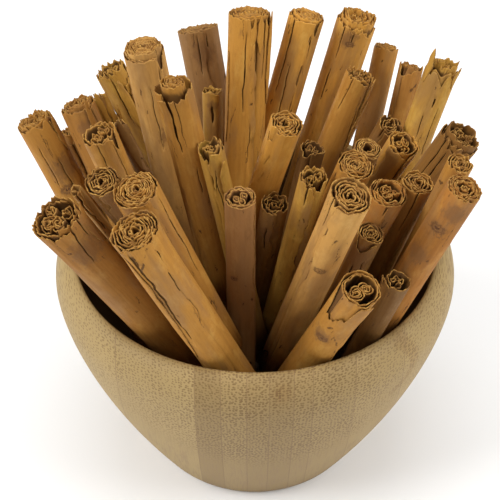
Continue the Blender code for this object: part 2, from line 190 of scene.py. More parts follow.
QUILL_STYLES = {
    "quill_01": fine(
        "tan", pitch=0.5, hollow=0.3, curls=1, seam=40, ragged=1.8, dome=0.8, tears=(Tear(70, 34, 3.0),),
        cracks=(Crack(35, 0, 9, 0.8), Crack(-30, 6, 18, 0.35), Crack(8, 12, 22, 0.35)),
        knots=(Spot(-12, 28, 3.2),), stains=(Spot(20, 20, 7.0),),
        splints=(Splint(55, 1.5, 16, 2.6, 0.3),)),
    "quill_02": loose(
        "brown", seam=-20, ragged=2.0, lift=1.0, tears=(Tear(20, 50, 4.0),),
        cracks=(Crack(10, 0, 22, 0.8),)),
    "quill_03": fine(
        "brown", seam=60, ragged=1.2, dome=1.0, cracks=(Crack(40, 0, 10, 0.5),),
        stains=(Spot(-2, 9, 4.5),), splints=(Splint(22, 3.0, 19, 1.8, 1.6),)),
    "quill_04": stuffed(
        "tan", curls=2, seam=30, ragged=1.6, tears=(Tear(45, 14, 6.5),),
        cracks=(Crack(-20, 0, 12, 0.6), Crack(25, 2, 16, 0.8))),
    "quill_05": loose(
        "straw", seam=10, ragged=2.4, lift=0.8, cracks=(Crack(-15, 0, 24, 0.8), Crack(20, 6, 30, 0.6)),
        splints=(Splint(-5, 2.0, 15, 2.0, 1.0), Splint(72, -6.0, 26, 3.6, 1.0))),
    "quill_06": loose(
        "shade_brown", seam=40, ragged=2.2, tears=(Tear(0, 60, 6.0),), splints=(Splint(-4, 4.6, 24, 3.2, 0.4),)),
    "quill_07": stuffed(
        "straw", ragged=2.4, lift=1.0, tears=(Tear(30, 50, 6.0),),
        cracks=(Crack(-18, 0, 20, 0.7), Crack(12, 0, 26, 0.6, 0.05)),
        splints=(Splint(0, -3.0, 22, 3.2, 0.9), Splint(35, -6.0, 20, 3.4, 0.7),
            Splint(-74, -12.0, 26, 4.0, 1.0))),
    "quill_08": fine(
        "cream", pitch=0.52, seam=34, dome=2.2, tears=(Tear(38, 16, 7.0),),
        cracks=(Crack(-8, 10, 26, 0.35), Crack(24, 2, 24, 0.5)), stains=(Spot(20, 34, 5.0),)),
    "quill_09": stuffed(
        "tan", pitch=1.0, curls=1, hollow=0.84, seam=-50, ragged=1.1, dome=2.4, lift=1.6,
        tears=(Tear(6, 40, 2.0),),
        cracks=(Crack(-24, 0, 21, 1.4, 0.04), Crack(-2, 0, 19, 0.3), Crack(14, 27, 12, 0.4),
            Crack(38, 30, 8, 0.4))),
    "quill_10": fine(
        "dusky", seam=8, ragged=0.5, slope=3.2, cracks=(Crack(-10, 2, 16, 0.45), Crack(20, 2, 6, 0.7)),
        stains=(Spot(5, 10, 7.0),)),
    "quill_11": loose("straw", seam=30, cracks=(Crack(-4, 4, 9, 1.0),), stains=(Spot(0, 6, 3.0),)),
    "quill_12": fine(
        "golden", seam=20, ragged=0.9, dome=0.6,
        tears=(Tear(62, 12, 3.0), Tear(40, 8, 1.5), Tear(8, 5, 4.0)),
        cracks=(Crack(-10, 5, 30, 0.6), Crack(24, 4, 40, 0.8, 0.015), Crack(44, 0, 22, 0.7),
            Crack(6, 36, 16, 0.3)),
        splints=(Splint(66, 1.0, 34, 2.8, 0.5), Splint(30, 0.6, 14, 2.2, 0.3),
            Splint(-64, -14, 34, 2.4, 0.1))),
    "quill_13": fine(
        "honey", pitch=0.56, seam=30, ragged=0.7, dome=1.0, tears=(Tear(48, 10, 5.0),),
        cracks=(Crack(-34, 0, 30, 0.8), Crack(-10, 16, 26, 0.4, -0.05), Crack(36, 5, 8, 1.0))),
    "quill_14": stuffed(
        "honey", pitch=0.6, hollow=0.6, seam=48, ragged=1.6, dome=2.6, lift=0.3,
        tears=(Tear(55, 25, 3.0), Tear(0, 24, 1.5)),
        cracks=(Crack(-30, 0, 14, 0.6), Crack(-34, 16, 16, 0.6), Crack(4, 0, 5, 0.5, 0.1),
            Crack(48, 2, 26, 0.7)), knots=(Spot(2, 10, 2.0),), stains=(Spot(-8, 8, 5.0),)),
    "quill_15": stuffed(
        "tan", curls=4, seam=64, ragged=1.6, lift=0.9, tears=(Tear(60, 12, 8.0),),
        cracks=(Crack(-18, 0, 15, 0.5, 0.1), Crack(36, 6, 34, 0.5, -0.08), Crack(50, 0, 22, 1.1)),
        splints=(Splint(66, 1.5, 22, 2.2, 0.5), Splint(76, -8.0, 32, 5.0, 0.6))),
    "quill_16": fine("tan", seam=50, dome=0.8),
    "quill_17": loose(
        "brown", seam=-20, ragged=1.4, tears=(Tear(-20, 50, 4.0),), cracks=(Crack(-30, 0, 16, 0.6),)),
    "quill_18": stuffed(
        "straw", seam=64, ragged=1.8, dome=3.0,
        tears=(Tear(12, 16, 5.0), Tear(-26, 22, 1.0), Tear(48, 14, 2.0)),
        cracks=(Crack(14, 4, 5, 0.8), Crack(-6, 14, 10, 0.35), Crack(36, 12, 20, 0.35)),
        splints=(Splint(-50, 3.5, 12, 3.0, 0.1), Splint(60, 0.0, 8, 1.8, 1.0))),
    "quill_19": loose("shade_brown", seam=50),
    "quill_20": loose("umber", seam=0, ragged=1.8, lift=1.0, cracks=(Crack(-20, 0, 6, 0.6),)),
    "quill_21": stuffed(
        "honey", flare=0.06, seam=-30, tears=(Tear(35, 20, 3.0),),
        cracks=(Crack(48, 0, 22, 0.9), Crack(62, 0, 20, 0.7)), splints=(Splint(56, 0.5, 18, 2.0, 0.5),)),
    "quill_22": stuffed(
        "umber", curls=4, flare=0.1, seam=30, ragged=2.0, dome=2.4, lift=1.0, tears=(Tear(10, 35, 2.0),),
        cracks=(Crack(-30, 0, 20, 0.8), Crack(-8, 2, 14, 0.6))),
    "quill_23": fine("tan", seam=40, ragged=1.2),
    "quill_24": fine(
        "reddish", pitch=0.5, hollow=0.42, curls=1, seam=64, ragged=1.0, knots=(Spot(-6, 16, 3.2),),
        stains=(Spot(14, 8, 5.5), Spot(-20, 30, 6.0))),
    "quill_25": loose(
        "brown", pitch=0.8, flare=0.08, seam=-60, ragged=0.8, cracks=(Crack(20, 0, 20, 0.5),)),
    "quill_26": stuffed(
        "reddish", pitch=0.6, hollow=0.66, flare=0.08, seam=20, ragged=1.2, dome=0.6,
        cracks=(Crack(14, 0, 4, 0.7),)),
    "quill_27": loose(
        "cream", pitch=0.86, flare=0.07, seam=-20, ragged=0.6, tears=(Tear(-30, 10, 2.0),),
        cracks=(Crack(-46, 0, 16, 0.7),), knots=(Spot(10, 36, 2.4),)),
    "quill_28": loose(
        "umber", pitch=0.7, seam=40, ragged=0.9, tears=(Tear(-14, 40, 6.0),),
        cracks=(Crack(20, 8, 12, 0.6), Crack(-16, 6, 8, 0.6)), stains=(Spot(0, 10, 8.0),)),
    "quill_29": stuffed(
        "tan", pitch=0.62, curls=2, flare=0.06, seam=70, ragged=0.7, lift=0.2,
        tears=(Tear(-16, 50, 16.0),), knots=(Spot(-8, 28, 3.0),), stains=(Spot(-14, 27, 5.0),)),
    "quill_30": stuffed(
        "shade_brown", pitch=0.9, curls=4, seam=-60, ragged=1.0, splints=(Splint(-60, 1.5, 8, 1.4, 1.4),)),
    "quill_31": fine("umber", hollow=0.34, seam=60, ragged=0.5, dome=0.6),
    "quill_32": fine("tan", pitch=0.6, seam=130, ragged=0.9),
    "quill_33": stuffed("shade_brown", curls=2, seam=0, ragged=1.2, tears=(Tear(-30, 24, 3.0),)),
    "quill_34": stuffed(
        "straw", curls=2, seam=20, ragged=2.2, tears=(Tear(30, 30, 4.0),),
        cracks=(Crack(-14, 0, 10, 0.8),)),
    "quill_35": loose(
        "honey", pitch=0.8, flare=0.05, seam=-52, tears=(Tear(-36, 16, 7.0),),
        cracks=(Crack(-50, 2, 16, 0.9),)),
    "quill_36": loose(
        "umber", seam=10, ragged=2.0, cracks=(Crack(10, 4, 16, 0.6), Crack(-20, 8, 14, 0.6)),
        stains=(Spot(0, 14, 6.0),)),
    "quill_37": stuffed(
        "rose", pitch=0.6, hollow=0.66, seam=54, ragged=0.6, lift=0.0, cracks=(Crack(50, 0, 50, 0.5),),
        knots=(Spot(-30, 34, 1.6),)),
    "quill_38": stuffed(
        "straw", curls=2, seam=-20, ragged=2.4, lift=1.2, tears=(Tear(-30, 30, 5.0),),
        cracks=(Crack(-24, 0, 28, 0.8), Crack(0, 6, 30, 0.4)), splints=(Splint(34, -4.0, 20, 3.4, 1.4),)),
    "quill_39": fine(
        "tan", pitch=0.56, flare=0.05, seam=12, ragged=0.9, dome=0.5,
        cracks=(Crack(6, 14, 22, 0.5, 0.02), Crack(10, 40, 22, 0.5), Crack(44, 2, 40, 0.5)),
        knots=(Spot(-16, 30, 1.2),)),
    "quill_40": fine(
        "tan", pitch=0.66, flare=0.13, seam=-58, ragged=1.4, lift=0.5, tears=(Tear(-56, 18, 1.5),),
        cracks=(Crack(-41, 0, 58, 1.3), Crack(16, 4, 5, 0.8), Crack(14, 14, 12, 0.6),
            Crack(16, 30, 14, 0.5)), splints=(Splint(-64, -3.0, 60, 3.4, 0.4),)),
    "quill_41": loose(
        "umber", pitch=0.7, seam=-30, cracks=(Crack(40, 0, 20, 0.8), Crack(58, 0, 26, 0.6))),
    "quill_42": stuffed(
        "brown", curls=4, hollow=0.82, flare=0.08, seam=80, ragged=1.8, lift=1.6,
        tears=(Tear(-20, 40, 2.0),),
        cracks=(Crack(6, 0, 18, 0.7, 0.1), Crack(30, 0, 10, 0.6), Crack(60, 6, 30, 0.5)),
        stains=(Spot(0, 14, 8.0),), splints=(Splint(48, 1.5, 18, 3.0, 0.7),)),
    "quill_43": loose(
        "cream", seam=10, ragged=1.6, cracks=(Crack(-30, 0, 20, 0.8),),
        splints=(Splint(20, 1.0, 24, 1.6, 0.8),)),
}


def outer_radius(height):
    """Outer radius of the bowl's wall between the underside and the belly."""
    share = min(max(height / BELLY_HEIGHT, 0.0), 1.0)
    return FOOT_RADIUS + (BELLY_RADIUS - FOOT_RADIUS) * (1.0 - (1.0 - share) ** WALL_FULLNESS)


def inner_radius(height):
    """Inner radius of the bowl's wall, nowhere wider than the mouth."""
    corner = max(FLOOR + FLOOR_CORNER - height, 0.0) / FLOOR_CORNER
    rounding = FLOOR_CORNER * (1.0 - math.sqrt(max(1.0 - corner * corner, 0.0)))
    return min(outer_radius(height) - WALL, LIP_RADIUS) - rounding


def bowl_section():
    """Half section of the bowl, from the middle of the underside round to the middle of the floor."""
    section = [(0.0, 0.0), (FOOT_RADIUS * 0.6, 0.0), (FOOT_RADIUS - 2.0 * FOOT_EDGE, 0.0)]
    section += [(FOOT_RADIUS - FOOT_EDGE * 0.7, FOOT_EDGE * 0.2)]
    for ring in range(WALL_RINGS):
        height = FOOT_EDGE + (BELLY_HEIGHT - FOOT_EDGE) * ring / WALL_RINGS
        section.append((outer_radius(height), height))
    for ring in range(RIM_RINGS + 1):
        turn = math.radians(90) * ring / RIM_RINGS
        across = LIP_RADIUS + LIP_EDGE + (BELLY_RADIUS - LIP_RADIUS - LIP_EDGE) * math.cos(turn)
        section.append((across, BELLY_HEIGHT + (BOWL_HEIGHT - BELLY_HEIGHT) * math.sin(turn)))
    section.append((LIP_RADIUS + 0.3 * LIP_EDGE, BOWL_HEIGHT - 0.3 * LIP_EDGE))
    for ring in range(INNER_RINGS):
        height = BOWL_HEIGHT - LIP_EDGE - (BOWL_HEIGHT - LIP_EDGE - FLOOR) * ring / INNER_RINGS
        section.append((inner_radius(height), height))
    section += [(inner_radius(FLOOR), FLOOR), (inner_radius(FLOOR) * 0.5, FLOOR), (0.0, FLOOR)]
    return section


def add_object(name, data):
    """Put an object into the scene."""
    made = bpy.data.objects.new(name, data)
    bpy.context.scene.collection.objects.link(made)
    return made


def mesh_object(name, shape, materials):
    """Turn a finished bmesh into an object in the scene."""
    mesh = bpy.data.meshes.new(name)
    shape.to_mesh(mesh)
    shape.free()
    for material in materials:
        mesh.materials.append(material)
    return add_object(name, mesh)


def place_piece(name, shape, nodes, materials):
    """Turn a finished bmesh into a piece of the object that stands for those solids."""
    piece = mesh_object(name, shape, materials)
    piece.data.shade_smooth()
    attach(piece, "root")
    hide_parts(*nodes)
    return piece


def turn_bowl():
    """Turn the bowl's half section once round the axis."""
    shape = bmesh.new()
    section = [shape.verts.new((across * MM, 0.0, height * MM)) for across, height in bowl_section()]
    edges = [shape.edges.new(pair) for pair in zip(section, section[1:])]
    bmesh.ops.spin(shape, geom=section + edges, cent=(0, 0, 0), axis=(0, 0, 1),
                   angle=math.tau, steps=BOWL_SIDES, use_merge=True)
    bmesh.ops.remove_doubles(shape, verts=shape.verts, dist=0.000001)
    bmesh.ops.recalc_face_normals(shape, faces=shape.faces)
    place_piece("turned_bowl", shape, ["bowl"], [bamboo_finish()])


class Quill:
    """Axis, size and bearings of one quill, read from its solid."""

    def __init__(self, node):
        spots = np.array([corner.co for corner in node.data.vertices])
        middle = spots.mean(0)
        along = np.linalg.svd(spots - middle, full_matrices=False)[2][0]
        along = Vector(along if along[2] > 0 else -along)
        toward = CAMERA_PLACE - Vector(middle)
        front = (toward - along * toward.dot(along)).normalized()
        right = along.cross(front)
        turned = np.array([front, right, along])
        local = (spots - middle) @ turned.T
        low = local[local[:, 2] < 0.0][:, :2]
        # Ever smaller steps to the farthest corner lead to the middle of the circle round them all
        centre = low.mean(0)
        for step in range(1, CENTRE_STEPS):
            farthest = low[np.hypot(*(low - centre).T).argmax()]
            centre = centre + (farthest - centre) / (step + 1)
        self.radius = FULLER * np.hypot(*(low - centre).T).max() / MM
        self.length = (local[:, 2].max() - local[:, 2].min()) / MM
        foot = Vector(middle) + front * centre[0] + right * centre[1] + along * local[:, 2].min()
        self.frame = Matrix((front, right, along)).transposed().to_4x4()
        self.frame.translation = foot


def wave(place, seed, size):
    """Smooth noise from -1 to 1 along a line."""
    return noise.noise(Vector((place / size, seed * 7.31, seed * 3.17)))


def torn(place, seed, size):
    """Noise with steps in it, as a torn edge has."""
    coarse = wave(place, seed, size * 3.0)
    step = noise.cell(Vector((place / size, seed * 5.3, 0.5)))
    return 0.55 * coarse + 0.45 * (2.0 * step - 1.0)


def between(first, second):
    """Turn from the second bearing to the first, from -180 to 180 degrees."""
    return (first - second + 180.0) % 360.0 - 180.0


def hand_of(look):
    """Way round that a quill's bark is rolled from its seam across the front: 1 or -1."""
    return -1 if look.seam > 0 else 1


def turn_from_seam(look, bearing):
    """How far round the wrap a bearing lies from its outer edge, in radians."""
    return math.radians(hand_of(look) * (bearing - look.seam) % 360.0)


# A station of a sheet's section: its turn from the sheet's outer edge in radians, its bearing in
# degrees, its place across the quill, and how far along the section it lies. A sheet: its stations,
# the depths of its rings, whether it is the wrap, how far it stands proud, and its seed.
Station = namedtuple("Station", "turned bearing x y arc")
Sheet = namedtuple("Sheet", "stations rings wrap proud seed")


def station_turns(radius, inner, pitch, splits):
    """How far the stations of a rolled sheet are turned, with a close pair of them at each split."""
    turns = max((radius - inner) / pitch, 0.9)
    angles = []
    angle = 0.0
    while angle < turns * math.tau:
        if all(abs(angle - split) >= PAIR_CLEAR / radius for split in splits):
            angles.append(angle)
        reach = max(radius - pitch * angle / math.tau, 0.5)
        angle += min(SECTION_STEP / reach, LARGEST_STEP)
    for split in splits:
        angles += [split - PAIR_HALF / radius, split + PAIR_HALF / radius]
    return sorted(angles)


def spiral(radius, inner, pitch, start, hand, crumple, seed,
           centre=(0.0, 0.0), splits=(), squash=0.0):
    """Stations of a rolled sheet from its outer edge inward.

    Crumple is how high its folds are, and squash is how far it is pressed flat, as a share of its
    radius. The first turn stays round until it has to pass under its own outer edge, and the turns
    after it bunch up and part again.
    """
    stations = []
    arc = 0.0
    for angle in station_turns(radius, inner, pitch, splits):
        bearing = start + hand * angle
        turn = angle / math.tau
        grown = 0.2 + 0.8 * min(turn, 1.0)
        ring = (2.1 * math.cos(bearing), 2.1 * math.sin(bearing), seed + 0.35 * turn)
        folds = noise.noise(Vector(ring))
        bunched = turn + 0.42 * noise.noise(Vector((1.4 * turn, seed * 1.9, 0.3)))
        inward = pitch * (max(bunched, turn * 0.5) if turn > 1.0 else turn ** 4)
        r = radius - inward + grown * (crumple * folds + 0.20 * wave(arc, seed + 4, 1.2))
        r *= 1.0 - squash * (0.5 + 0.5 * math.cos(2.0 * (bearing - seed)))
        r = max(r, 0.3)
        x, y = centre[0] + r * math.cos(bearing), centre[1] + r * math.sin(bearing)
        if stations:
            arc += math.hypot(x - stations[-1].x, y - stations[-1].y)
        stations.append(Station(angle, math.degrees(math.atan2(y, x)), x, y, arc))
    return stations


def sheets_of(quill, look, seed):
    """The sheets that a quill is rolled from: the wrap outside, the turns in it, and the curls."""
    draw = random.Random(seed)
    start = math.radians(look.seam)
    radius = quill.radius - SKIN_GAP - THICKNESS / 2
    inner = max(radius * look.hollow, LEAST_HOLLOW)
    splits = [turn_from_seam(look, split.bearing) for split in look.cracks]
    crumple = 0.65 if look.pitch < 0.8 else 0.95
    main = spiral(radius, inner, look.pitch, start, hand_of(look), crumple, seed, splits=splits)
    wrap = [station for station in main if station.turned <= WRAP_TURNS * math.tau]
    sheets = [Sheet(wrap, WRAP_RINGS, True, 0.0, seed)]
    core = main[len(wrap) - 1:]
    if len(core) > 2:
        sheets.append(Sheet(core, CORE_RINGS, False, look.dome, seed))
    room = inner - 0.45
    bearing = start + math.pi / 2
    for index, share in enumerate(CURL_SIZES[look.curls]):
        small = room * share
        out = 0.96 * (room - small)
        bearing += math.tau / look.curls + draw.uniform(-0.15, 0.15)
        centre = (out * math.cos(bearing), out * math.sin(bearing))
        curl_seed = seed + CURL_SEEDS * (index + 1)
        curl_pitch = draw.uniform(0.6, 0.8)
        curl_start = draw.uniform(0, math.tau)
        curl_hand = draw.choice((-1, 1))
        squash = draw.uniform(0.10, 0.38)
        stations = spiral(small, LEAST_HOLLOW, curl_pitch, curl_start, curl_hand, 0.5, curl_seed,
                          centre, squash=squash)
        proud = look.dome
        if look.curls > 1:
            proud = look.dome * draw.uniform(0.5, 1.0) - draw.uniform(0.0, 1.2)
        sheets.append(Sheet(stations, CORE_RINGS, False, proud, curl_seed))
    return sheets


def head_height(quill, look, sheet, station):
    """Where a sheet's end lies along the quill, from the foot."""
    turn = station.turned / math.tau
    height = look.ragged * 0.6 * torn(station.arc, sheet.seed, 0.9)
    height += 0.3 * torn(station.arc, sheet.seed + 1, 0.35)
    height += 0.35 * wave(turn * 10.0, sheet.seed + 2, 6.0)
    if turn > 1.0 or not sheet.wrap:
        height -= 1.5 * max(torn(station.arc, sheet.seed + 5, 3.0) - 0.25, 0.0)
    height -= look.slope * (1.0 - math.cos(math.radians(station.bearing))) / 2
    # The turns under the wrap rise step by step, and a curl stands proud all the way round
    risen = 1.0
    if sheet.stations[0].turned:
        risen = min(max(turn - RISE_TURNS, 0.0) / RISE_TURNS, 1.0)
    height += sheet.proud * risen
    if sheet.wrap and turn < 1.0:
        for tear in look.tears:
            share = max(1.0 - abs(between(station.bearing, tear.bearing)) / tear.half_width, 0.0)
            uneven = 0.9 + 0.2 * torn(station.arc, sheet.seed + 3, 1.2)
            height -= tear.depth * min(share * 2.4, 1.0) * uneven
    return min(quill.length - look.dome - HEAD_DROP + height, quill.length - HEAD_LIMIT)


def splits_of(look, stations):
    """The cracks of a wrap, each with the pair of stations that it opens between."""
    splits = []
    for split in look.cracks:
        turned = turn_from_seam(look, split.bearing)
        high = next(index for index, station in enumerate(stations) if station.turned > turned)
        splits.append((split, stations[high - 1], stations[high]))
    return splits


def sideways(station, depth, splits, seed):
    """How far the wavy outer edge and the cracks push a spot of the wrap along its section."""
    push = max(1.0 - station.arc / EDGE_REACH, 0.0) * 0.8 * torn(depth, seed + 21, 4.0)
    for number, (split, low, high) in enumerate(splits):
        off = station.arc - (low.arc + high.arc) / 2
        share = max(1.0 - abs(off) / CRACK_REACH, 0.0)
        way = split.slant * (depth - split.start) + 0.5 * wave(depth, seed + 30 + number, 11.0)
        way += 0.16 * torn(depth, seed + 50 + number, 2.4)
        push += share * max(min(way, 2.2), -2.2)
        run = (depth - split.start) / split.length
        if 0.0 <= run <= 1.0 and abs(off) < 0.1:
            gape = 1.0 - run if split.start == 0 else math.sin(math.pi * run)
            gape *= 0.65 + 0.8 * wave(depth, seed + 40 + number, 3.4)
            push += math.copysign(split.width / 2 * max(gape, 0.0) ** 0.5, off)
    return push


def swell_at(quill, look, sheet, station, up):
    """How full a sheet is at a height, against its section, with the waves and flare of its head."""
    below = quill.length - up
    swell = 0.99 + 0.012 * wave(up, sheet.seed % 50 + 11, 24.0)
    swell += 0.012 * noise.noise(Vector((station.bearing / 26.0, up / 45.0, sheet.seed % 50)))
    swell += look.flare * max(1.0 - below / FLARE_REACH, 0.0) ** 1.5
    if sheet.wrap:
        swell -= 0.006
    if sheet.wrap and station.turned < LIFT_TURN:
        lifted = max(1.0 - below / LIFT_REACH, 0.0) ** 2 * (1.0 - station.turned / LIFT_TURN)
        swell += look.lift / quill.radius * lifted
    return swell


def bared(look, station, buried):
    """Whether a torn place in the outer turn bares this spot of the turn below it."""
    return any(abs(between(station.bearing, tear.bearing)) < tear.half_width and buried < tear.depth + 1.0
               for tear in look.tears)


def shade_at(quill, look, sheet, station, top, up):
    """How much shade is painted on a spot between the turns, from 0 at the head and on bare bark up to 1.
    """
    buried = min(top, quill.length - look.dome - HEAD_DROP) - up
    outer = sheet.wrap and station.turned < math.tau
    second = sheet.wrap and station.turned < BARED_TURNS * math.tau
    if outer or (second and bared(look, station, buried)):
        return 0.0
    return min(max(buried / SHADE_DEPTH, 0.0), 1.0)


def kept_inside(spot):
    """The spot, or the nearest one to it within the box of all the solids."""
    low, high = cad_box
    edge = THICKNESS * MM
    return Vector([min(max(spot[axis], low[axis] + edge), high[axis] - edge) for axis in range(3)])


def marked(quill, station, below, spots):
    """Place of a station on the nearest of some marks, where 1 is the mark's own size."""
    best = FAR_OFF
    for spot in spots:
        off = math.radians(between(station.bearing, spot.bearing)) * quill.radius / spot.size
        run = (below - spot.start) / spot.size
        if math.hypot(off, run) < math.hypot(best[0], best[1]):
            best = (off, run, 1.0)
    return best


def roll_sheet(shape, quill, look, sheet):
    """Draw one sheet's section down from the head to the foot of its quill."""
    grain, knot, stain = (shape.verts.layers.float_vector[name] for name in PLACES)
    shade = shape.verts.layers.float["shade"]
    column = shape.verts.layers.int["column"]
    stations = sheet.stations
    tops = [head_height(quill, look, sheet, station) for station in stations]
    rings = [depth for depth in sheet.rings if depth < quill.length * 0.9] + [None]
    splits = splits_of(look, stations) if sheet.wrap else []
    knots, stains = (look.knots, look.stains) if sheet.wrap else ((), ())

    def settle_ring(ring, depth):
        """Put a ring's corners at a depth below the head, or at the foot without one."""
        for corner in ring:
            station = stations[corner[column]]
            top = tops[corner[column]]
            end = 0.6 + 0.5 * torn(station.arc, sheet.seed + 9, 0.9)
            up = end if depth is None else max(top - depth, end + 0.4)
            push = 0.0
            if sheet.wrap:
                push = sideways(station, quill.length if depth is None else depth, splits, sheet.seed)
            turn = Matrix.Rotation(hand_of(look) * push / quill.radius, 2)
            x, y = turn @ Vector((station.x, station.y)) * swell_at(quill, look, sheet, station, up)
            corner.co = kept_inside(quill.frame @ Vector((x * MM, y * MM, up * MM)))
            corner[grain] = (station.arc + push, up, sheet.seed)
            corner[shade] = shade_at(quill, look, sheet, station, top, up)
            corner[knot] = marked(quill, station, quill.length - up, knots)
            corner[stain] = marked(quill, station, quill.length - up, stains)

    ring = []
    for index in range(len(stations)):
        corner = shape.verts.new()
        corner[column] = index
        ring.append(corner)
    edges = [shape.edges.new(pair) for pair in zip(ring, ring[1:])]
    settle_ring(ring, rings[0])
    open_faces = []
    last = rings[0]
    for depth in rings[1:]:
        grown = bmesh.ops.extrude_edge_only(shape, edges=edges)["geom"]
        ring, edges, faces = ([item for item in grown if isinstance(item, kind)]
                              for kind in (BMVert, BMEdge, BMFace))
        settle_ring(ring, depth)
        if depth is None:
            continue
        for split, low, high in splits:
            if split.start - 0.2 <= last and depth <= split.start + split.length:
                pair = {stations.index(low), stations.index(high)}
                open_faces += [face for face in faces
                               if {corner[column] for corner in face.verts} == pair]
        last = depth
    bmesh.ops.delete(shape, geom=open_faces, context="FACES")


def lay_splint(shape, quill, splint, seed):
    """A pointed strip of bark that has come away from the wrap and stands off at its tip."""
    grain, knot, stain = (shape.verts.layers.float_vector[name] for name in PLACES)
    strip = bmesh.ops.create_grid(shape, x_segments=4, y_segments=16, size=1.0)["verts"]
    top = min(quill.length + splint.top - HEAD_DROP, quill.length - HEAD_LIMIT + max(splint.top, 0.0))
    for corner in strip:
        side, share = corner.co.x, (corner.co.y + 1.0) / 2
        ragged = 1.0 + 0.15 * torn(share * splint.length + 9.0 * side, seed + 5, 2.6)
        narrow = min((1.0 - share) * 3.0 + 0.15, share * 3.0 + 0.1, 1.0) * ragged
        bearing = math.radians(splint.bearing) + side * narrow * splint.width / 2 / quill.radius
        bearing += 0.3 / quill.radius * wave(share * splint.length, seed + 6, 6.0)
        r = quill.radius + 0.1 + splint.lean * share ** 2
        up = top - splint.length * (1.0 - share) + 0.4 * torn(side * 3.0, seed + 7, 0.8)
        spot = Vector((r * math.cos(bearing) * MM, r * math.sin(bearing) * MM, up * MM))
        corner.co = kept_inside(quill.frame @ spot)
        corner[grain] = (side * splint.width / 2 + 30.0, up, seed)
        corner[knot] = FAR_OFF
        corner[stain] = FAR_OFF


def make_quill(name):
    """Roll one quill's sheets, lay its splints on them, and give the bark its thickness."""
    quill = Quill(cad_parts[name])
    look = QUILL_STYLES[name]
    seed = int(name[-2:])
    shape = bmesh.new()
    for layer in PLACES:
        shape.verts.layers.float_vector.new(layer)
    shape.verts.layers.int.new("column")
    shape.verts.layers.float.new("shade")
    for sheet in sheets_of(quill, look, seed):
        roll_sheet(shape, quill, look, sheet)
    for number, splint in enumerate(look.splints):
        lay_splint(shape, quill, splint, seed + SPLINT_SEEDS + 7 * number)
    finishes = [bark_finish(look.tone), torn_edge_finish()]
    piece = place_piece(f"bark_{name}", shape, [name], finishes)
    solid = piece.modifiers.new("sheet", "SOLIDIFY")
    solid.thickness = THICKNESS * MM
    solid.offset = 0.0
    solid.use_rim = True
    solid.material_offset_rim = 1


def new_material(name):
    """A material, its node tree and its shader."""
    material = bpy.data.materials.new(name)
    material.use_nodes = True
    tree = material.node_tree
    return material, tree, tree.nodes["Principled BSDF"]


def fill(tree, node, inputs):
    """Fill a node's sockets, each called by its name or by _ and its number, with values or links."""
    for key, value in inputs.items():
        socket = node.inputs[int(key[1:]) if key[0] == "_" else key]
        if isinstance(value, bpy.types.NodeSocket):
            tree.links.new(value, socket)
        else:
            socket.default_value = value


def add_node(tree, kind, settings=None, **inputs):
    """Add a node, set its properties and fill its sockets."""
    node = tree.nodes.new(f"ShaderNode{kind}")
    for key, value in (settings or {}).items():
        setattr(node, key, value)
    fill(tree, node, inputs)
    return node


def calc(tree, operation, first, second=0.0):
    """Result of a sum with one or two values."""
    return add_node(tree, "Math", {"operation": operation}, _0=first, _1=second).outputs[0]


def plus(tree, first, second):
    return calc(tree, "ADD", first, second)


def minus(tree, first, second):
    return calc(tree, "SUBTRACT", first, second)


def times(tree, first, second):
    return calc(tree, "MULTIPLY", first, second)


def apart(tree, first, second):
    return calc(tree, "ABSOLUTE", minus(tree, first, second))


def ramp(tree, value, low, high, out_low=0.0, out_high=1.0, way="SMOOTHSTEP"):
    """A value that goes from one output to another while its input goes from low to high."""
    return add_node(tree, "MapRange", {"interpolation_type": way}, _0=value, _1=low, _2=high,
                    _3=out_low, _4=out_high).outputs[0]


def blend(tree, share, first, second):
    """The first colour, with a share of the second over it."""
    mixed = add_node(tree, "Mix", {"data_type": "RGBA"}, _0=share, _6=first, _7=second)
    return mixed.outputs[2]


def noise_at(tree, place, scale, detail=3.0, roughness=0.6):
    """Cloudy noise from 0 to 1."""
    return add_node(tree, "TexNoise", Vector=place, Scale=scale, Detail=detail,
                    Roughness=roughness).outputs[0]


def stretched(tree, across, along, third, wide, long):
    """A place for a pattern that has so many features to a millimetre across and along."""
    return add_node(tree, "CombineXYZ", _0=times(tree, across, wide),
                    _1=times(tree, along, long), _2=third).outputs[0]


def frayed(tree, value, pattern, amount):
    """A value moved up and down by a pattern, which frays what is drawn from it."""
    return plus(tree, value, times(tree, minus(tree, pattern, 0.5), amount))


def length_of(tree, place, scale):
    """Length of a vector whose parts are scaled first."""
    scaled = add_node(tree, "VectorMath", {"operation": "MULTIPLY"}, _0=place, _1=scale)
    whole = add_node(tree, "VectorMath", {"operation": "LENGTH"}, _0=scaled.outputs[0])
    return whole.outputs["Value"]


def attribute(tree, name, output="Vector"):
    """What the corners of the bark carry under a name."""
    return add_node(tree, "Attribute", {"attribute_name": name}).outputs[output]


def new_group(name, inputs, outputs):
    """A shader node group with named sockets, and its two inner nodes."""
    group = bpy.data.node_groups.new(name, "ShaderNodeTree")
    for way, sockets in (("INPUT", inputs), ("OUTPUT", outputs)):
        for label, kind in sockets.items():
            group.interface.new_socket(name=label, in_out=way, socket_type=f"NodeSocket{kind}")
    return group, group.nodes.new("NodeGroupInput"), group.nodes.new("NodeGroupOutput")


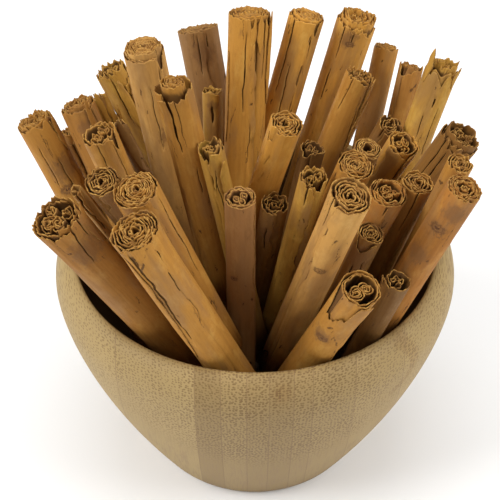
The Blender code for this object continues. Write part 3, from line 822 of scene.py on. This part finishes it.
# Bark tones: the colours of the sheet, of its darker fibres, and of its worn, paler skin
TONES = {
    "golden": ((0.52, 0.248, 0.04), (0.33, 0.14, 0.021), (0.60, 0.325, 0.066)),
    "tan": ((0.43, 0.20, 0.034), (0.26, 0.107, 0.017), (0.515, 0.273, 0.056)),
    "straw": ((0.47, 0.246, 0.041), (0.26, 0.133, 0.02), (0.57, 0.335, 0.066)),
    "brown": ((0.35, 0.155, 0.028), (0.20, 0.079, 0.013), (0.43, 0.218, 0.045)),
    "reddish": ((0.385, 0.158, 0.028), (0.22, 0.077, 0.013), (0.48, 0.233, 0.046)),
    "honey": ((0.60, 0.295, 0.05), (0.39, 0.172, 0.027), (0.67, 0.375, 0.08)),
    "cream": ((0.56, 0.30, 0.078), (0.37, 0.18, 0.044), (0.64, 0.375, 0.11)),
    "dusky": ((0.31, 0.158, 0.05), (0.185, 0.088, 0.026), (0.39, 0.215, 0.075)),
    "rose": ((0.395, 0.192, 0.062), (0.245, 0.112, 0.034), (0.475, 0.255, 0.086)),
    # The next tone is painted shade: a darker copy of the umber bark, for quills that stand in shade
    "shade_brown": ((0.165, 0.076, 0.017), (0.085, 0.036, 0.008), (0.225, 0.113, 0.027)),
    "umber": ((0.23, 0.104, 0.02), (0.125, 0.051, 0.009), (0.31, 0.156, 0.034)),
}
SCAR = (0.10, 0.04, 0.016, 1.0)
HAIRLINE = (0.06, 0.024, 0.008, 1.0)
STAIN = (0.17, 0.08, 0.03, 1.0)
BLOOM = (0.275, 0.145, 0.055, 1.0)
# Painted shade, deep between the turns of a roll
HOLLOW_SHADE = (0.085, 0.036, 0.009, 1.0)
EDGE_PALE = (0.50, 0.282, 0.07, 1.0)
EDGE_BROWN = (0.235, 0.105, 0.021, 1.0)
EDGE_DARK = (0.15, 0.062, 0.015, 1.0)

# Bark patterns: features to a millimetre across the bark and along it, detail and roughness
BARK_PATTERNS = {
    "fibres": (3.2, 0.10, 4.0, 0.65),
    "streaks": (0.75, 0.035, 4.0, 0.6),
    "patches": (0.20, 0.085, 5.0, 0.62),
    "mottle": (0.9, 0.45, 4.0, 0.7),
    "flecks": (2.4, 0.75, 2.0, 0.6),
    "bloom": (0.13, 0.032, 4.0, 0.55),
}


def bark_marks(tree, mottle, flecks):
    """Shares of a stain, of the halo round a knot, and of the scarred ring and eye of the knot."""
    blurred = frayed(tree, length_of(tree, attribute(tree, "stain"), (1.0, 1.0, 0.0)), mottle, 1.8)
    blot = ramp(tree, blurred, 1.0, 0.35, 0.0, 0.62)
    rough = frayed(tree, length_of(tree, attribute(tree, "knot"), (1.0, 1.5, 0.0)), mottle, 0.9)
    halo = ramp(tree, rough, 1.3, 0.6, 0.0, 0.45)
    rougher = frayed(tree, rough, flecks, 1.3)
    ring = times(tree, ramp(tree, rougher, 0.44, 0.60), ramp(tree, rougher, 0.92, 0.74))
    eye = ramp(tree, rougher, 0.28, 0.10)
    scar = calc(tree, "MAXIMUM", times(tree, ring, 0.5), times(tree, eye, 0.9))
    return blot, halo, scar


@cache
def bark_group():
    """Fibres, streaks, stains, scars and hairline cracks of a sheet of bark, with painted shade between
    turns.
    """
    tree, given, result = new_group(
        "bark_skin",
        {"Bark": "Color", "Fibre": "Color", "Skin": "Color"},
        {"Colour": "Color", "Roughness": "Float", "Normal": "Vector"})
    bark, fibre, skin = given.outputs[:3]
    across, along, seed = add_node(tree, "SeparateXYZ", _0=attribute(tree, "grain")).outputs
    shift = times(tree, seed, 13.7)
    fibres, streaks, patches, mottle, flecks, bloom = (
        noise_at(tree, stretched(tree, across, along, shift, wide, long), 1.0, detail, roughness)
        for wide, long, detail, roughness in BARK_PATTERNS.values())
    own = add_node(tree, "TexWhiteNoise", {"noise_dimensions": "1D"}, W=shift).outputs[0]
    colour = bark
    for pattern, low, high, share, tint in (
            (streaks, 0.42, 0.72, 0.42, fibre),
            (patches, 0.50, 0.30, 0.75, skin),
            (bloom, 0.46, 0.66, 0.62, BLOOM),
            (fibres, 0.50, 0.75, 0.12, fibre),
            (mottle, 0.52, 0.72, 0.32, fibre),
            (patches, 0.60, 0.76, 0.50, STAIN),
            (flecks, 0.75, 0.82, 0.60, SCAR),
            (own, 0.0, 1.0, 0.22, fibre)):
        colour = blend(tree, ramp(tree, pattern, low, high, 0.0, share), colour, tint)
    bent = plus(tree, across, times(tree, mottle, 2.2))
    plates = add_node(tree, "TexVoronoi", {"feature": "DISTANCE_TO_EDGE"}, Scale=1.0,
                      Randomness=1.0, Vector=stretched(tree, bent, along, shift, 0.17, 0.022)).outputs[0]
    hairline = times(tree, ramp(tree, plates, 0.016, 0.005), ramp(tree, patches, 0.56, 0.60))
    colour = blend(tree, times(tree, hairline, 0.8), colour, HAIRLINE)
    blot, halo, scar = bark_marks(tree, mottle, flecks)
    for share, tint in ((blot, STAIN), (halo, STAIN), (scar, SCAR)):
        colour = blend(tree, share, colour, tint)
    # Painted shade: the bark between the turns darkens towards a near-black brown the deeper it lies
    # below the head
    dark = ramp(tree, attribute(tree, "shade", "Fac"), 0.0, 0.7)
    colour = blend(tree, times(tree, dark, 0.85), colour, HOLLOW_SHADE)
    height = times(tree, fibres, 0.2)
    height = plus(tree, height, times(tree, streaks, 0.6))
    height = plus(tree, height, times(tree, mottle, 0.4))
    cut = times(tree, calc(tree, "MAXIMUM", hairline, scar), 1.2)
    height = minus(tree, height, cut)
    bump = add_node(tree, "Bump", Strength=0.6, Distance=0.0004, Height=height)
    roughness = ramp(tree, patches, 0.3, 0.7, 0.60, 0.84)
    fill(tree, result, {"Colour": colour, "Roughness": roughness, "Normal": bump.outputs[0]})
    return tree


@cache
def bark_finish(tone):
    """Bark of one tone."""
    material, tree, shader = new_material(f"bark_{tone}")
    bark, fibre, skin = ((*colour, 1.0) for colour in TONES[tone])
    surface = add_node(tree, "Group", {"node_tree": bark_group()}, Bark=bark, Fibre=fibre, Skin=skin)
    colour, roughness, normal = surface.outputs
    fill(tree, shader, {"Base Color": colour, "Roughness": roughness, "Normal": normal,
                        "Specular IOR Level": 0.2})
    return material


@cache
def torn_edge_finish():
    """The fibrous edge where a sheet of bark is broken or cut."""
    material, tree, shader = new_material("bark_torn_edge")
    place = add_node(tree, "TexCoord").outputs["Object"]
    crumbs = noise_at(tree, place, 900.0, 4.0, 0.7)
    worn = noise_at(tree, place, 260.0, 2.0)
    colour = blend(tree, ramp(tree, crumbs, 0.32, 0.62), EDGE_PALE, EDGE_BROWN)
    colour = blend(tree, ramp(tree, worn, 0.48, 0.64, 0.0, 0.75), colour, EDGE_DARK)
    bump = add_node(tree, "Bump", Strength=0.6, Distance=0.0003, Height=crumbs)
    fill(tree, shader, {"Base Color": colour, "Roughness": 0.9, "Normal": bump.outputs[0],
                        "Specular IOR Level": 0.2})
    return material


# Laminated bamboo: strips stand on edge side by side, and their fibres run from front to back. So
# the fibre bundles show as dots in front and behind, and are drawn out where the wall slopes. A
# strip is where its left side is, across the bowl, and its tone.
STRIPS = (
    (-73.0, 0.78), (-47.0, 0.70), (-20.0, 0.28), (-11.5, 0.44), (-3.2, 0.34),
    (4.4, 0.28), (12.3, 0.38), (18.6, 0.46), (33.0, 0.58), (50.0, 0.70),
)
SEAM_HALF = 0.16

# Bamboo: the middle of the darker strips, the arc of a node at the right, and a scar below the rim
DARK_MIDDLE = 6.0
WallMark = namedtuple("WallMark", "across height radius")
NODE_ARC = WallMark(42.0, 82.0, 12.0)
RIM_SCAR = WallMark(8.5, 89.0, 4.2)

BAMBOO_DARK = (0.215, 0.136, 0.050, 1.0)
BAMBOO_PALE = (0.425, 0.303, 0.128, 1.0)
BAMBOO_CLOUD = (0.31, 0.215, 0.090, 1.0)
BAMBOO_STREAK = (0.26, 0.165, 0.080, 1.0)
BAMBOO_NODE = (0.250, 0.140, 0.045, 1.0)
BAMBOO_DOT = (0.145, 0.080, 0.028, 1.0)
BAMBOO_SEAM = (0.20, 0.12, 0.055, 1.0)
# Painted shade on the inside of the bowl, deepest low down
BAMBOO_INSIDE_SHADE = (0.075, 0.040, 0.016, 1.0)


def strip_tone(tree, x):
    """Tone of the strip that lies at a place across the bowl."""
    share = calc(tree, "DIVIDE", plus(tree, x, BELLY_RADIUS), 2.0 * BELLY_RADIUS)
    tones = add_node(tree, "ValToRGB", _0=share)
    tones.color_ramp.interpolation = "CONSTANT"
    stops = tones.color_ramp.elements
    while len(stops) < len(STRIPS):
        stops.new(1.0)
    for stop, (left, tone) in zip(stops, STRIPS):
        stop.position = (left + BELLY_RADIUS) / (2.0 * BELLY_RADIUS)
        stop.color = (tone, tone, tone, 1.0)
    return tones.outputs[0]


def seam_line(tree, x):
    """Share of the dark seam where the strips just left and right of a place differ in tone."""
    left = strip_tone(tree, minus(tree, x, SEAM_HALF))
    right = strip_tone(tree, plus(tree, x, SEAM_HALF))
    return ramp(tree, apart(tree, right, left), 0.0, 0.05, 0.0, 0.55)


def distance_from(tree, x, z, mark):
    """Distance from the middle of a mark on the wall."""
    across = minus(tree, x, mark.across)
    up = minus(tree, z, mark.height)
    square = plus(tree, times(tree, across, across), times(tree, up, up))
    return calc(tree, "SQRT", square)


def dense_places(tree, x, z):
    """1 along the arc of the node and at the scar, where the bamboo is dense and dark."""
    off = apart(tree, distance_from(tree, x, z, NODE_ARC), NODE_ARC.radius)
    arc = times(tree, ramp(tree, off, 2.4, 0.8), ramp(tree, x, 44.0, 48.0))
    scar = ramp(tree, distance_from(tree, x, z, RIM_SCAR), RIM_SCAR.radius, RIM_SCAR.radius * 0.3)
    return calc(tree, "MAXIMUM", arc, scar)


def bamboo_dots(tree, wavy_x, z, around, tone, middle, dense):
    """Shares of the dots of fibre bundles, without and with their differences in darkness."""
    over_rim = times(tree, minus(tree, BELLY_RADIUS, around), ramp(tree, z, 76.0, 86.0))
    dot_up = plus(tree, plus(tree, z, over_rim), times(tree, tone, 57.0))
    dot_place = add_node(tree, "CombineXYZ", _0=wavy_x, _1=dot_up).outputs[0]
    dot_cells = add_node(tree, "TexVoronoi", {"voronoi_dimensions": "2D"}, Vector=dot_place,
                         Scale=0.90, Randomness=0.70)
    cells = dot_cells.outputs["Distance"]
    bundles = noise_at(tree, stretched(tree, wavy_x, z, tone, 0.16, 0.12), 1.0, 3.0, 0.6)
    reach = ramp(tree, bundles, 0.34, 0.64, 0.21, 0.31)
    reach = plus(tree, reach, times(tree, middle, 0.06))
    reach = plus(tree, reach, times(tree, dense, 0.10))
    off = minus(tree, cells, reach)
    dots = times(tree, ramp(tree, off, 0.05, -0.05), ramp(tree, cells, 0.04, 0.14, 0.5, 1.0))
    reached = plus(tree, z, times(tree, middle, 12.0))
    dots = times(tree, dots, ramp(tree, reached, 46.0, 68.0, 0.06, 1.0))
    dark = times(tree, ramp(tree, middle, 0.0, 1.0, 0.60, 0.86),
                ramp(tree, dot_cells.outputs["Color"], 0.1, 0.6, 0.55, 1.0))
    return dots, times(tree, dots, dark)


def painted_inside_shade(tree, z, around):
    """Share of painted shade on the inside, more the deeper down."""
    share = ramp(tree, z, 0.0, BELLY_HEIGHT, way="LINEAR")
    rest = calc(tree, "POWER", minus(tree, 1.0, share), WALL_FULLNESS)
    outside = minus(tree, BELLY_RADIUS, times(tree, rest, BELLY_RADIUS - FOOT_RADIUS))
    in_wall = ramp(tree, minus(tree, outside, around), WALL * 0.4, WALL * 0.6)
    in_mouth = ramp(tree, around, LIP_RADIUS + 0.2, LIP_RADIUS - 0.4)
    inside = times(tree, in_mouth, ramp(tree, z, FLOOR - 0.6, FLOOR - 0.2))
    inside = times(tree, inside, in_wall)
    return times(tree, inside, ramp(tree, z, 92.0, 66.0, 0.15, 0.9))


def bamboo_finish():
    """Strips of bamboo with seams, streaks low down, dots near the rim, and painted shade inside."""
    material, tree, shader = new_material("bamboo_laminate")
    place = add_node(tree, "TexCoord").outputs["Object"]
    parts = add_node(tree, "SeparateXYZ", _0=place)
    x, y, z = (times(tree, parts.outputs[axis], 1000.0) for axis in range(3))
    around = length_of(tree, place, (1000.0, 1000.0, 0.0))
    wavy_x = frayed(tree, x, noise_at(tree, place, 16.0, 1.0), 2.4)
    tone = strip_tone(tree, x)
    seam = seam_line(tree, x)
    middle = ramp(tree, apart(tree, x, DARK_MIDDLE), 52.0, 6.0)
    dense = dense_places(tree, x, z)
    fibres = noise_at(tree, stretched(tree, wavy_x, z, times(tree, y, 0.01), 1.9, 0.10),
                      1.0, 4.0, 0.65)
    low_down = plus(tree, ramp(tree, z, 62.0, 30.0), 0.25)
    dots, dark_dots = bamboo_dots(tree, wavy_x, z, around, tone, middle, dense)
    colour = blend(tree, tone, BAMBOO_DARK, BAMBOO_PALE)
    for share, tint in (
            (ramp(tree, noise_at(tree, place, 30.0), 0.35, 0.70, 0.0, 0.35), BAMBOO_CLOUD),
            (times(tree, ramp(tree, fibres, 0.46, 0.66, 0.0, 0.55), low_down), BAMBOO_STREAK),
            (times(tree, dense, 0.35), BAMBOO_NODE),
            (dark_dots, BAMBOO_DOT),
            (seam, BAMBOO_SEAM),
            (painted_inside_shade(tree, z, around), BAMBOO_INSIDE_SHADE)):
        colour = blend(tree, share, colour, tint)
    height = minus(tree, 0.0, calc(tree, "MAXIMUM", dots, seam))
    bump = add_node(tree, "Bump", Strength=0.3, Distance=0.0003, Height=height)
    fill(tree, shader, {"Base Color": colour, "Roughness": 0.58, "Normal": bump.outputs[0],
                        "Specular IOR Level": 0.25})
    return material


def lay_floor():
    """A plain white floor under the object."""
    shape = bmesh.new()
    bmesh.ops.create_grid(shape, x_segments=1, y_segments=1, size=GROUND_REACH)
    material, tree, shader = new_material("floor_paper")
    fill(tree, shader, {"Base Color": (0.9, 0.9, 0.9, 1.0), "Roughness": 0.9})
    floor = mesh_object("floor", shape, [material])


def add_lamp(name, place, size, power):
    """A square lamp that aims at the object."""
    lamp = bpy.data.lights.new(name, "AREA")
    lamp.shape = "SQUARE"
    lamp.size = size
    lamp.energy = power
    holder = add_object(name, lamp)
    holder.location = place
    holder.rotation_euler = (LAMP_AIM - Vector(place)).to_track_quat("-Z", "Y").to_euler()


def light_and_camera():
    """White surroundings, three soft lamps, and the camera of the picture."""
    world = bpy.data.worlds.new("studio")
    world.use_nodes = True
    fill(world.node_tree, world.node_tree.nodes["Background"],
         {"Color": (1.0, 1.0, 1.0, 1.0), "Strength": SKY_STRENGTH})
    bpy.context.scene.world = world
    for lamp in LAMPS:
        add_lamp(*lamp)
    camera = bpy.data.cameras.new("camera")
    camera.lens = CAMERA_LENS
    camera.sensor_width = SENSOR
    camera.clip_start = 0.01
    holder = add_object("camera", camera)
    holder.location = CAMERA_PLACE
    holder.rotation_euler = (CAMERA_TILT, 0.0, 0.0)
    bpy.context.scene.camera = holder
    bpy.context.scene.view_settings.view_transform = "Standard"


light_and_camera()
lay_floor()
turn_bowl()
for quill_name in QUILL_STYLES:
    make_quill(quill_name)
